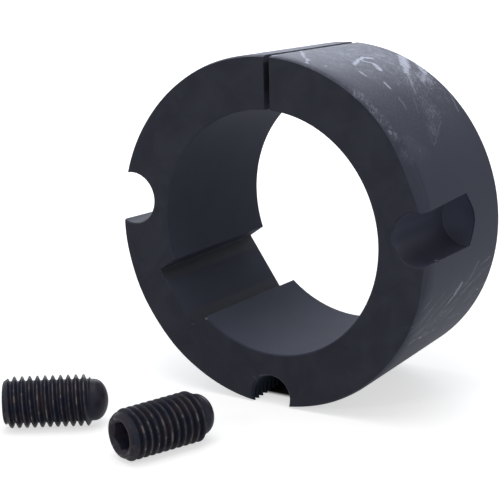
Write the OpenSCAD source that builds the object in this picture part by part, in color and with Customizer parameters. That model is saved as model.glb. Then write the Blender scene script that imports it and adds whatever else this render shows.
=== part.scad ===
// Split taper bush that locks a hub onto a shaft, with its two clamping screws lying in front of it.
// Millimetres. The origin is the centre of the bore on the large end face.
// The bush lies on its side as it comes to rest: astride its lower half hole, with the split on top.

/* [Bush body] */

// Diameter of the large end of the tapered outside
large_end_dia = 107.95; // [60:0.05:260]
// Length of the bush along the shaft
bush_len = 50.8; // [20:0.1:160]
// Slope of the tapered outside to the axis, in degrees
taper_angle = 4; // [2:0.1:8]
// Bevel on the outer edges of both end faces
rim_bevel = 0.9; // [0:0.1:2]
// Width of the split through the wall
split_w = 2; // [1:0.1:6]

/* [Bore and keyway] */

// Diameter of the bore
bore_dia = 75; // [20:0.5:90]
// Bevel on the edges of the bore
bore_bevel = 0.4; // [0:0.1:2]
// Width of the keyway
key_w = 20; // [4:0.5:28]
// Depth of the keyway below the wall of the bore
key_depth = 4.9; // [1:0.1:8]
// Place of the keyway round the bore, clockwise from the split as seen on the large end
key_clock = 235.2; // [90:0.1:270]

/* [Half holes] */

// Diameter of the circle through the centres of the two plain half holes
clamp_circle_dia = 101.2; // [50:0.1:250]
// Diameter of the two plain half holes for the clamping screws
clamp_hole_dia = 16; // [6:0.1:30]
// Depth of the plain half holes before the drill point
clamp_hole_depth = 29.8; // [10:0.1:45]
// Angle of each plain half hole from the point opposite the threaded half hole
clamp_hole_spread = 84.6; // [45:0.1:120]
// Bevel round the mouth of the plain half holes
clamp_mouth_bevel = 0.5; // [0:0.1:2]
// Rounding of the drill point on which a screw's dome presses
clamp_tip_round = 7; // [0:0.5:9]
// Distance of the threaded half hole's axis from the bush's axis, doubled
jack_circle_dia = 102.4; // [50:0.1:250]
// Place of the threaded half hole, clockwise from the split as seen on the large end
jack_hole_clock = 181; // [170:0.5:190]
// Inner diameter of the threaded half hole that frees the bush
jack_hole_dia = 13.2; // [5:0.1:26]
// Depth of the threaded half hole before the drill point
jack_hole_depth = 30; // [10:0.5:45]
// Bevel round the mouth of the threaded half hole
jack_mouth_bevel = 0.7; // [0:0.1:3]
// Play between the thread of a screw and the thread of the half hole
thread_play = 0.1; // [0:0.05:0.5]
// Angle of the drill points, tip to tip across the cone
drill_point_angle = 118; // [90:1:150]

/* [Clamping screws] */

// Diameter over the crests of the thread
screw_dia = 15.6; // [5:0.1:30]
// Length of a screw from its socket end to the tip of its dome
screw_len = 31.4; // [12:0.1:80]
// Threads in an inch, which sets the pitch of all the threads here
threads_per_inch = 11; // [6:1:32]
// Depth of the thread, crest to root
thread_depth = 1.45; // [0.3:0.05:3]
// Length of the bevelled run-in of the thread at the socket end
screw_bevel = 2.3; // [0.2:0.1:4]
// Plain neck between the thread and the dome
neck_len = 1.4; // [0:0.1:6]
// Height of the dome that presses on the floor of the half hole
dome_height = 4.2; // [0.5:0.1:8]
// Size of the hex socket across its flats
socket_af = 7.94; // [2:0.01:17]
// Depth of the hex socket before its drilled floor
socket_depth = 8; // [3:0.1:16]
// Bevel round the mouth of the hex socket
socket_bevel = 0.8; // [0:0.05:2]

/* [Where the screws lie] */

// Left screw: sideways place of its socket end
left_screw_x = -60.9; // [-120:0.1:0]
// Left screw: place of its socket end in front of the large face
left_screw_y = -55.7; // [-120:0.1:-20]
// Left screw: turn on the floor, from the sideways axis
left_screw_turn = 33; // [0:0.5:90]
// Right screw: sideways place of its socket end
right_screw_x = -13.3; // [-60:0.1:60]
// Right screw: place of its socket end in front of the large face
right_screw_y = -62.2; // [-120:0.1:-20]
// Right screw: turn on the floor, from the sideways axis
right_screw_turn = 68.5; // [0:0.5:90]
// Roll of the sockets about the screws, so that neither shows its flats level
socket_roll = 12; // [0:1:60]

/* [Hidden] */

inch = 25.4;
facets = 96;

large_r = large_end_dia / 2;
bore_r = bore_dia / 2;
clamp_circle_r = clamp_circle_dia / 2;
jack_circle_r = jack_circle_dia / 2;
pitch = inch / threads_per_inch;
// slope of the cone, and its radius at a depth behind the large face
taper = tan(taper_angle);
function cone_r(depth) = large_r - depth * taper;
// rim of the threaded half hole on the cone: its drop below the axis when the hole is at the bottom
function rim_drop(hole_r, depth) =
    (pow(jack_circle_r, 2) + pow(cone_r(depth), 2) - pow(hole_r, 2)) / (2 * jack_circle_r);

// The bush rests on the two front corners of the lower half hole and on the cone where the drill point ends
drill_slope = tan(drill_point_angle / 2);
jack_hole_r = jack_hole_dia / 2;
jack_tip = jack_hole_depth + jack_hole_r / drill_slope;
front_contact = max(jack_mouth_bevel, rim_bevel);
back_contact = (jack_tip * drill_slope - (large_r - jack_circle_r)) / (drill_slope - taper);
front_drop = rim_drop(jack_hole_r, front_contact);
back_drop = cone_r(back_contact);
rest_tilt = atan((front_drop - back_drop) / (back_contact - front_contact));
rest_roll = jack_hole_clock - 180;
floor_z = -(front_contact * sin(rest_tilt) + front_drop * cos(rest_tilt));

crest_r = screw_dia / 2;
root_r = crest_r - thread_depth;
thread_start = screw_bevel;
thread_end = screw_len - dome_height - neck_len;
thread_turns = floor((thread_end - thread_start) / pitch);
// share of a pitch that each flat and each flank of the thread takes
crest_flat = pitch / 8;
root_flat = pitch / 4;
flank = (pitch - crest_flat - root_flat) / 2;
socket_corner_r = socket_af / 2 / cos(30);
jack_turns = floor((jack_hole_depth - jack_mouth_bevel) / pitch) - 1;
jack_thread_depth = crest_r + thread_play - jack_hole_r;

// Turns a feature that is drawn towards +X to its clock place, seen on the large end
module at_clock(clock) {
  rotate([0, 0, clock - 90])
    children();
}

// Tapered ring with bevelled edges, large face at z = 0 and the axis along +Z
module tapered_ring() {
  rotate_extrude($fn = facets * 2)
    polygon([
      [bore_r + bore_bevel, 0],
      [cone_r(rim_bevel) - rim_bevel, 0],
      [cone_r(rim_bevel), rim_bevel],
      [cone_r(bush_len - rim_bevel), bush_len - rim_bevel],
      [cone_r(bush_len - rim_bevel) - rim_bevel, bush_len],
      [bore_r + bore_bevel, bush_len],
      [bore_r, bush_len - bore_bevel],
      [bore_r, bore_bevel]
    ]);
}

// Split that lets the ring close on the shaft
module split_cut() {
  at_clock(0)
    translate([bore_r - 5, -split_w / 2, -1])
      cube([large_r - bore_r + 10, split_w, bush_len + 2]);
}

// Square-cornered keyway through the whole length of the bore
module keyway_cut() {
  at_clock(key_clock)
    translate([bore_r - 5, -key_w / 2, -1])
      cube([5 + key_depth, key_w, bush_len + 2]);
}

// Outline of a drill point whose tip is rounded, as [radius, depth], from the wall to the axis
tip_steps = 8;
function tip_outline(hole_r, depth, tip_round) =
  let (round_depth = depth + hole_r / drill_slope - tip_round / sin(drill_point_angle / 2))
    [
      for (step = [0 : tip_steps])
        let (a = drill_point_angle / 2 + (90 - drill_point_angle / 2) * step / tip_steps)
          [tip_round * cos(a), round_depth + tip_round * sin(a)]
    ];

// Drilled hole with a bevelled mouth at z = 0 and a drill point
module drilled_hole(hole_r, depth, mouth_bevel, tip_round) {
  rotate_extrude($fn = facets)
    polygon(concat(
      [
        [0, -1],
        [hole_r + mouth_bevel + 1, -1],
        [hole_r, mouth_bevel],
        [hole_r, depth]
      ],
      tip_round > 0 ? tip_outline(hole_r, depth, tip_round) : [[0, depth + hole_r / drill_slope]]
    ));
}

// Plain half hole: the screw passes here and presses on its floor
module clamp_hole_cut(side) {
  at_clock(jack_hole_clock - 180 + side * clamp_hole_spread)
    translate([clamp_circle_r, 0, 0])
      drilled_hole(clamp_hole_dia / 2, clamp_hole_depth, clamp_mouth_bevel, clamp_tip_round);
}

// One groove of the inner thread, cut into the wall of the threaded half hole
module thread_groove(wall_r) {
  rotate_extrude($fn = facets)
    polygon([
      [wall_r - 1, 0],
      [wall_r, 0],
      [wall_r + jack_thread_depth, flank],
      [wall_r + jack_thread_depth, flank + crest_flat],
      [wall_r, 2 * flank + crest_flat],
      [wall_r - 1, 2 * flank + crest_flat]
    ]);
}

// Threaded half hole opposite the split: a screw here pushes the bush out of the hub
module jack_hole_cut() {
  at_clock(jack_hole_clock)
    translate([jack_circle_r, 0, 0]) {
      drilled_hole(jack_hole_r, jack_hole_depth, jack_mouth_bevel, 0);
      for (turn = [0 : jack_turns - 1])
        translate([0, 0, jack_mouth_bevel + root_flat + turn * pitch])
          thread_groove(jack_hole_r);
    }
}

// Turns the bush from its own axis into the pose in which it rests
module lay_bush() {
  rotate([-90 - rest_tilt, 0, 0])
    rotate([0, 0, -rest_roll])
      children();
}

// Whole bush, one casting machined all over
module taper_bush() {
  color([0.20, 0.21, 0.25])
    lay_bush()
      difference() {
        tapered_ring();
        split_cut();
        keyway_cut();
        clamp_hole_cut(1);
        clamp_hole_cut(-1);
        jack_hole_cut();
      }
}

// Corners of one thread turn on the outline of a screw, as [height along the screw, radius]
function turn_outline(turn) =
  let (start = thread_start + turn * pitch)
    [
      [start + crest_flat, crest_r],
      [start + crest_flat + flank, root_r],
      [start + crest_flat + flank + root_flat, root_r],
      [start + pitch, crest_r]
    ];

// Outline of the dome, as [height along the screw, radius]
dome_steps = 8;
dome_start = screw_len - dome_height;
dome_outline = [
  for (step = [0 : dome_steps])
    let (a = 90 * step / dome_steps)
      [dome_start + dome_height * sin(a), root_r * cos(a)]
];
thread_outline = [for (turn = [0 : thread_turns - 1], corner = turn_outline(turn)) corner];
neck_start = thread_start + thread_turns * pitch + crest_flat;
screw_outline = concat(
  [[0, 0], [0, root_r], [thread_start, crest_r]],
  thread_outline,
  [[neck_start, crest_r], [neck_start + flank, root_r]],
  dome_outline
);

// Hex socket with a bevelled mouth and a drilled floor, opening at z = 0
module hex_socket_cut() {
  rotate([0, 0, socket_roll])
    translate([0, 0, -1])
      cylinder(h = socket_depth + 1, r = socket_corner_r, $fn = 6);
  rotate_extrude($fn = facets)
    polygon([
      [0, -1],
      [socket_corner_r + socket_bevel + 1, -1],
      [socket_af / 2, socket_corner_r - socket_af / 2 + socket_bevel],
      [0, socket_corner_r - socket_af / 2 + socket_bevel]
    ]);
  rotate_extrude($fn = facets)
    polygon([
      [0, socket_depth - 1],
      [socket_af / 2, socket_depth - 1],
      [socket_af / 2, socket_depth],
      [0, socket_depth + socket_af / 2 / drill_slope]
    ]);
}

// Headless screw with a hex socket at z = 0 and a smooth dome at its other end
module clamping_screw() {
  color([0.16, 0.16, 0.18])
    difference() {
      rotate_extrude($fn = facets)
        polygon([for (corner = screw_outline) [corner[1], corner[0]]]);
      hex_socket_cut();
    }
}

// Lays a screw on the floor with its socket end at a place and its dome pointing along a turn
module lay_screw(x, y, turn) {
  translate([x, y, floor_z + crest_r])
    rotate([0, 0, turn])
      rotate([0, 90, 0])
        clamping_screw();
}

module left_clamping_screw() {
  lay_screw(left_screw_x, left_screw_y, left_screw_turn);
}

module right_clamping_screw() {
  lay_screw(right_screw_x, right_screw_y, right_screw_turn);
}

taper_bush();
left_clamping_screw();
right_clamping_screw();
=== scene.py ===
"""Dresses the split taper bush and its two clamping screws as the photograph shows them.

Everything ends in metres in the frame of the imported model: the origin is the centre of the bore on the
large end face, +Z is up from the floor, and -Y points out of the bore at the large end. The bush leans as it
rests. Pieces and their marks are first laid out about their own axes, in millimetres.
"""

import logging
import math
from dataclasses import dataclass
from enum import Enum
from typing import Callable, ClassVar, Sequence

import bmesh
import bpy
from mathutils import Matrix, Vector, noise


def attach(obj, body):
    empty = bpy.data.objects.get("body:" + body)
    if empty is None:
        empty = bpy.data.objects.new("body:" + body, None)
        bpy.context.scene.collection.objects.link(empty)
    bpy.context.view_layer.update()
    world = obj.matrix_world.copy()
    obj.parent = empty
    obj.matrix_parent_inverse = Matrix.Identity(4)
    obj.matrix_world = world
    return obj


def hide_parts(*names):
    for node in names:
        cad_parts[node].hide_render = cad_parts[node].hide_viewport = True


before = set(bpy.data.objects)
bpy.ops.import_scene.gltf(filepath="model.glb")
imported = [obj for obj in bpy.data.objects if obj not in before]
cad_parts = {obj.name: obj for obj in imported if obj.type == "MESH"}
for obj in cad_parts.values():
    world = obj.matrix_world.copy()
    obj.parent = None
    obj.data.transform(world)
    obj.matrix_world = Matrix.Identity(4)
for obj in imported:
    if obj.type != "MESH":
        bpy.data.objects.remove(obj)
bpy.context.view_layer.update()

log = logging.getLogger("taper_bush")

MM = 0.001
PLACE = "own_place"

Mesh = bpy.types.Mesh
Material = bpy.types.Material
Socket = bpy.types.NodeSocket
Ring = list[Vector]
Profile = list[tuple[float, float]]
Reach = Callable[[float], float]
Triple = tuple[float, float, float]
Colour = tuple[float, float, float, float]
Value = Socket | float | tuple[float, ...] | None


# Meshes


def loop_of(radius: Reach, depth: Reach, count: int) -> Ring:
    """Makes one closed row of points round the Z axis.

    Args:
        radius: distance from the axis, in millimetres, at an angle in radians.
        depth: height along the axis, in millimetres, at that angle.
        count: number of steps round the axis.

    Returns:
        count + 1 points in millimetres, the last in the same place as the first.
    """
    row = []
    for step in range(count + 1):
        angle = math.tau * step / count
        r = radius(angle)
        row.append(Vector((r * math.cos(angle), r * math.sin(angle), depth(angle))))
    return row


def circle(radius: float, depth: float, count: int) -> Ring:
    """Makes a row that is a plain circle of one radius at one depth."""
    return loop_of(lambda _: radius, lambda _: depth, count)


def mesh_from(bm: bmesh.types.BMesh, name: str) -> Mesh:
    """Writes a working copy to a new mesh and frees it.

    Args:
        bm: the working copy, whose faces are turned outwards.
        name: name of the mesh.

    Returns:
        The mesh.
    """
    bmesh.ops.recalc_face_normals(bm, faces=bm.faces)
    mesh = bpy.data.meshes.new(name)
    bm.to_mesh(mesh)
    bm.free()
    return mesh


def mesh_of_rows(name: str, rows: Sequence[Ring], weld: float = 2e-4) -> Mesh:
    """Skins rows of points with faces and welds what meets.

    Args:
        name: name of the mesh.
        rows: closed rows with the same number of points, in millimetres.
        weld: points closer than this are one point, in millimetres.

    Returns:
        A closed mesh in millimetres with its faces turned outwards.
    """
    bm = bmesh.new()
    grid = [[bm.verts.new(p) for p in row] for row in rows]
    for here, there in zip(grid, grid[1:]):
        for k in range(len(here) - 1):
            bm.faces.new((here[k], here[k + 1], there[k + 1], there[k]))
    bmesh.ops.remove_doubles(bm, verts=bm.verts, dist=weld)
    bmesh.ops.dissolve_degenerate(bm, edges=bm.edges, dist=weld / 2)
    return mesh_from(bm, name)


def lathe(name: str, profile: Profile, count: int) -> Mesh:
    """Turns a profile of (radius, depth) points about the Z axis into a closed mesh."""
    return mesh_of_rows(name, [circle(r, w, count) for r, w in profile])


def prism(name: str, outline: Sequence[tuple[float, float]], low: float, high: float) -> Mesh:
    """Makes a straight block along Z from a flat outline.

    Args:
        name: name of the mesh.
        outline: corners in X and Y, in millimetres.
        low: depth where the block starts.
        high: depth where it ends.

    Returns:
        The closed mesh in millimetres.
    """
    bm = bmesh.new()
    near, far = [[bm.verts.new((x, y, w)) for x, y in outline] for w in (low, high)]
    bm.faces.new(near)
    bm.faces.new(far)
    for k in range(len(outline)):
        n = (k + 1) % len(outline)
        bm.faces.new((near[k], near[n], far[n], far[k]))
    return mesh_from(bm, name)


def rounded(points: Sequence[tuple[float, float]], radii: Sequence[float], steps: int = 4) -> Profile:
    """Rounds the corners of a closed outline.

    Args:
        points: corners in order.
        radii: rounding at each corner, 0 for a sharp one.
        steps: number of straight pieces in each rounding.

    Returns:
        The outline with each rounded corner turned into a short curve.
    """
    out: Profile = []
    total = len(points)
    for k, (point, radius) in enumerate(zip(points, radii)):
        here = Vector(point)
        if radius <= 0:
            out.append((here.x, here.y))
            continue
        before = (Vector(points[k - 1]) - here).normalized()
        after = (Vector(points[(k + 1) % total]) - here).normalized()
        reach = radius / math.tan(before.angle(after) / 2)
        a, b = here + before * reach, here + after * reach
        for step in range(steps + 1):
            t = step / steps
            p = a * (1 - t) ** 2 + here * 2 * t * (1 - t) + b * t**2
            out.append((p.x, p.y))
    return out


def cut(body: Mesh, tools: Sequence[Mesh]) -> Mesh:
    """Cuts tool meshes out of a body one after another.

    Args:
        body: mesh that is cut.
        tools: closed meshes to take away.

    Returns:
        A new mesh.
    """
    scene = bpy.context.scene
    thing = bpy.data.objects.new("cut_body", body)
    scene.collection.objects.link(thing)
    helpers = []
    for tool in tools:
        helper = bpy.data.objects.new("cut_tool", tool)
        scene.collection.objects.link(helper)
        helpers.append(helper)
        step = thing.modifiers.new("cut", "BOOLEAN")
        step.object = helper
        step.operation = "DIFFERENCE"
        step.solver = "EXACT"
    seen = thing.evaluated_get(bpy.context.evaluated_depsgraph_get())
    made = bpy.data.meshes.new_from_object(seen)
    for helper in (*helpers, thing):
        bpy.data.objects.remove(helper)
    return made


def soften(mesh: Mesh, angle: float) -> None:
    """Shades a mesh smooth apart from edges that turn by more than an angle in degrees."""
    mesh.shade_smooth()
    mesh.set_sharp_from_angle(angle=math.radians(angle))


def piece_of(name: str, mesh: Mesh, where: Matrix, finish: Material) -> bpy.types.Object:
    """Lays a mesh made in millimetres into the row frame and gives it a finish.

    Each point's own place is stored first, in millimetres, for the finish to read.

    Args:
        name: name of the piece.
        mesh: its mesh about its own axis, in millimetres.
        where: from its own axes to the row frame, in millimetres.
        finish: its material.

    Returns:
        The new object, with its place in its mesh.
    """
    layer = mesh.attributes.new(PLACE, "FLOAT_VECTOR", "POINT")
    layer.data.foreach_set("vector", [c for v in mesh.vertices for c in v.co])
    mesh.transform(Matrix.Scale(MM, 4) @ where)
    mesh.materials.clear()
    mesh.materials.append(finish)
    mesh.update()
    mesh.name = name
    thing = bpy.data.objects.new(name, mesh)
    bpy.context.scene.collection.objects.link(thing)
    return thing


# Finishes


def srgb(red: int, green: int, blue: int) -> Colour:
    """Turns a colour as a screen shows it into the linear colour that a shader takes.

    Args:
        red: share of red, 0 to 255.
        green: share of green.
        blue: share of blue.

    Returns:
        The colour in shares of 0 to 1, opaque.
    """

    def linear(value: int) -> float:
        """Undoes the screen curve for one channel."""
        share = value / 255
        return share / 12.92 if share <= 0.04045 else ((share + 0.055) / 1.055) ** 2.4

    return (linear(red), linear(green), linear(blue), 1.0)


class Curve(Enum):
    """How a ramp runs between its two ends."""

    SMOOTH = "SMOOTHSTEP"
    STRAIGHT = "LINEAR"


@dataclass(frozen=True)
class Grain:
    """The settings of a noise texture. The scale is in features a millimetre."""

    scale: float
    detail: float = 2.0
    rough: float = 0.5
    warp: float = 0.0


class Weave:
    """Builds the nodes of one material or world in code, one call a node."""

    def __init__(self, owner: Material | bpy.types.World) -> None:
        """Starts an empty node tree in a material or world."""
        owner.use_nodes = True
        self.owner = owner
        self.tree = owner.node_tree
        self.tree.nodes.clear()

    def add(self, kind: str, **settings: object) -> bpy.types.Node:
        """Adds a node.

        Args:
            kind: Blender's name of the node type, without the ShaderNode in front.
            settings: properties of the node.

        Returns:
            The node.
        """
        made = self.tree.nodes.new("ShaderNode" + kind)
        for key, value in settings.items():
            setattr(made, key, value)
        return made

    def feed(self, socket: Socket, value: Value) -> None:
        """Links an output to a socket, or sets the socket to a plain value."""
        if isinstance(value, Socket):
            self.tree.links.new(value, socket)
        elif value is not None:
            socket.default_value = value

    def math(self, operation: str, *values: Value, clamp: bool = False) -> Socket:
        """Adds a Math node on up to three values and returns its result."""
        made = self.add("Math", operation=operation, use_clamp=clamp)
        for socket, value in zip(made.inputs, values):
            self.feed(socket, value)
        return made.outputs[0]

    def times(self, first: Value, *others: Value) -> Socket:
        """Multiplies two or more values."""
        for other in others:
            first = self.math("MULTIPLY", first, other)
        return first

    def most(self, first: Value, *others: Value) -> Socket:
        """Returns the largest of two or more values."""
        for other in others:
            first = self.math("MAXIMUM", first, other)
        return first

    def minus(self, a: Value, b: Value) -> Socket:
        """Takes the second value from the first."""
        return self.math("SUBTRACT", a, b)

    def line(self, value: Value, slope: Value, start: Value) -> Socket:
        """Returns the value times a slope, plus a start."""
        return self.math("MULTIPLY_ADD", value, slope, start)

    def vector(self, operation: str, a: Value, b: Value = None, scale: Value = None) -> Socket:
        """Adds a Vector Math node and returns its vector, or its number where the operation gives one."""
        made = self.add("VectorMath", operation=operation)
        for socket, value in zip((made.inputs[0], made.inputs[1], made.inputs[3]), (a, b, scale)):
            self.feed(socket, value)
        return made.outputs["Value" if operation in ("DOT_PRODUCT", "LENGTH", "DISTANCE") else "Vector"]

    def noise(self, where: Value, grain: Grain, output: str | int = 0) -> Socket:
        """Adds a Noise texture.

        Args:
            where: place in millimetres.
            grain: its settings.
            output: which output to return, the plain value at first.

        Returns:
            The output.
        """
        made = self.add("TexNoise", noise_dimensions="3D")
        self.feed(made.inputs["Vector"], where)
        values = (grain.scale, grain.detail, grain.rough, grain.warp)
        for name, value in zip(("Scale", "Detail", "Roughness", "Distortion"), values):
            made.inputs[name].default_value = value
        return made.outputs[output]

    def ramp(
        self,
        value: Value,
        low: float,
        high: float,
        start: float = 0.0,
        end: float = 1.0,
        curve: Curve = Curve.SMOOTH,
    ) -> Socket:
        """Maps a value from low..high to start..end, held at both ends."""
        made = self.add("MapRange", interpolation_type=curve.value, clamp=True)
        for socket, item in zip(made.inputs, (value, low, high, start, end)):
            self.feed(socket, item)
        return made.outputs[0]

    def mix(self, share: Value, a: Value, b: Value, kind: str = "RGBA") -> Socket:
        """Mixes two colours, or two values of another kind, by a share of the second."""
        made = self.add("Mix", data_type=kind, clamp_factor=True)
        for name, value in (("Factor", share), ("A", a), ("B", b)):
            self.feed(made.inputs[name], value)
        return made.outputs["Result"]

    def blend(self, share: Value, a: Value, b: Value) -> Socket:
        """Mixes two numbers by a share of the second."""
        return self.mix(share, a, b, "FLOAT")

    def split(self, place: Value) -> tuple[Socket, Socket, Socket]:
        """Returns the three numbers of a vector."""
        made = self.add("SeparateXYZ")
        self.feed(made.inputs[0], place)
        return tuple(made.outputs)

    def join(self, x: Value, y: Value, z: Value) -> Socket:
        """Makes a vector of three numbers."""
        made = self.add("CombineXYZ")
        for socket, value in zip(made.inputs, (x, y, z)):
            self.feed(socket, value)
        return made.outputs[0]

    def drawn(self, place: Value, angle: float, along: float, across: float) -> Socket:
        """Scales a flat place along a direction, at an angle in radians, and across it."""
        a = self.vector("DOT_PRODUCT", place, (math.cos(angle), math.sin(angle), 0.0))
        b = self.vector("DOT_PRODUCT", place, (-math.sin(angle), math.cos(angle), 0.0))
        return self.join(self.times(a, along), self.times(b, across), 0.0)

    def bump(self, height: Value, strength: float, normal: Value = None) -> Socket:
        """Turns a height into a normal.

        Args:
            height: height in millimetres.
            strength: share of the height that shows.
            normal: normal to start from, if not the surface's own.

        Returns:
            The normal.
        """
        made = self.add("Bump")
        made.inputs["Strength"].default_value = strength
        made.inputs["Distance"].default_value = MM
        self.feed(made.inputs["Height"], height)
        self.feed(made.inputs["Normal"], normal)
        return made.outputs[0]

    def place(self) -> Socket:
        """Returns each point's own place about its piece's axis, in millimetres."""
        return self.add("Attribute", attribute_type="GEOMETRY", attribute_name=PLACE).outputs["Vector"]

    def normal(self) -> Socket:
        """Returns the surface's own normal."""
        return self.add("NewGeometry").outputs["Normal"]

    def bevel(self, radius: float) -> Socket:
        """Returns the normal as if each edge were rounded by a radius in millimetres."""
        made = self.add("Bevel", samples=6)
        made.inputs["Radius"].default_value = radius * MM
        return made.outputs[0]

    def edge_share(self, radius: float) -> Socket:
        """Returns how far the surface is from flat within a radius in millimetres, 0 on a face."""
        same = self.vector("DOT_PRODUCT", self.bevel(radius), self.normal())
        return self.math("SUBTRACT", 1.0, same, clamp=True)

    def finish(self, shader: Socket) -> Material | bpy.types.World:
        """Connects a shader to the output and returns the material or world."""
        out = self.add("OutputWorld" if isinstance(self.owner, bpy.types.World) else "OutputMaterial")
        self.tree.links.new(shader, out.inputs["Surface"])
        return self.owner

    def principled(self, **inputs: Value) -> Material:
        """Ends the material in one Principled shader with these inputs, with _ for a space in a name."""
        shader = self.add("BsdfPrincipled")
        for name, value in inputs.items():
            self.feed(shader.inputs[name.replace("_", " ")], value)
        return self.finish(shader.outputs[0])


@dataclass(frozen=True)
class Scuff:
    """One pale rub mark on the outside of the bush, from one place to another.

    Clock angles are in degrees from the split as seen on the large end, depths are behind the large face,
    and half_width is across the mark, all in millimetres.
    """

    clock_a: float
    depth_a: float
    clock_b: float
    depth_b: float
    half_width: float
    strength: float


@dataclass(frozen=True)
class Cloud:
    """A soft patch of haze and painted sheen on the outside of the bush, or of clean dark coat where its
    share is below 0.

    The middle is a clock angle in degrees from the split and a depth behind the large face. The reach is
    along the edge and in depth. Lengths are in millimetres.
    """

    clock: float
    depth: float
    reach_along: float
    reach_deep: float
    share: float


@dataclass(frozen=True)
class Nick:
    """A small bright spot where the coat is knocked off: clock angle, radius, depth, reach and strength."""

    clock: float
    radius: float
    depth: float
    reach: float
    strength: float


@dataclass(frozen=True)
class PhosphatedIron:
    """Machined cast iron under a dark blue-grey phosphate coat, rubbed pale on the outside, with painted
    sheen.
    """

    coat: Colour = srgb(46, 48, 58)
    coat_light: Colour = srgb(56, 58, 68)
    turned: Colour = srgb(57, 61, 81)
    dressed: Colour = srgb(78, 80, 90)
    bored: Colour = srgb(70, 74, 92)
    drilled: Colour = srgb(70, 73, 91)
    # painted highlight on the plain holes' drill points
    drill_point_highlight: Colour = srgb(94, 98, 120)
    # painted shade for the lower side of the plain half holes
    painted_hole_shade: Colour = srgb(44, 43, 53)
    # darker inside the threaded half hole
    threaded_dark: Colour = srgb(34, 43, 57)
    # pale colour of the rub marks, also used for the painted sheen on the outside
    rubbed_and_sheen: Colour = srgb(204, 209, 228)
    # bare metal, also the painted highlight ring at the drills' shoulders
    bare_and_highlight: Colour = srgb(170, 170, 172)
    roughness: float = 0.5
    bored_roughness: float = 0.68
    ior: float = 1.22
    grain: Grain = Grain(3.2, 3.0, 0.6)
    blotch: Grain = Grain(0.11, 3.0, 0.55, 0.6)
    ragged: Grain = Grain(0.9, 4.0, 0.78)
    waver: Grain = Grain(0.35, 3.0)
    waver_reach: float = 1.8
    patchy: Grain = Grain(1.3, 3.0, 0.7)
    smear: Grain = Grain(1.0, 5.0, 0.7, 0.4)
    speckle: Grain = Grain(1.0, 4.0, 0.72, 0.5)
    drift: Grain = Grain(0.12, 4.0, 0.6, 0.8)
    scratch: Grain = Grain(1.0, 3.0, 0.6, 0.2)
    edge_wear: Grain = Grain(0.8, 3.0, 0.6)
    edge_reach: float = 0.3
    edge_round: float = 0.22
    ring_pitch: float = 0.32
    arc_pitch: float = 0.3
    tool_height: float = 0.0012
    grain_height: float = 0.012
    scuffs: tuple[Scuff, ...] = ()
    clouds: tuple[Cloud, ...] = ()
    nicks: tuple[Nick, ...] = ()

    def material(self, name: str) -> Material:
        """Builds the finish under a name and returns the material."""
        return IronWeave(bpy.data.materials.new(name), self).dressed()


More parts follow.
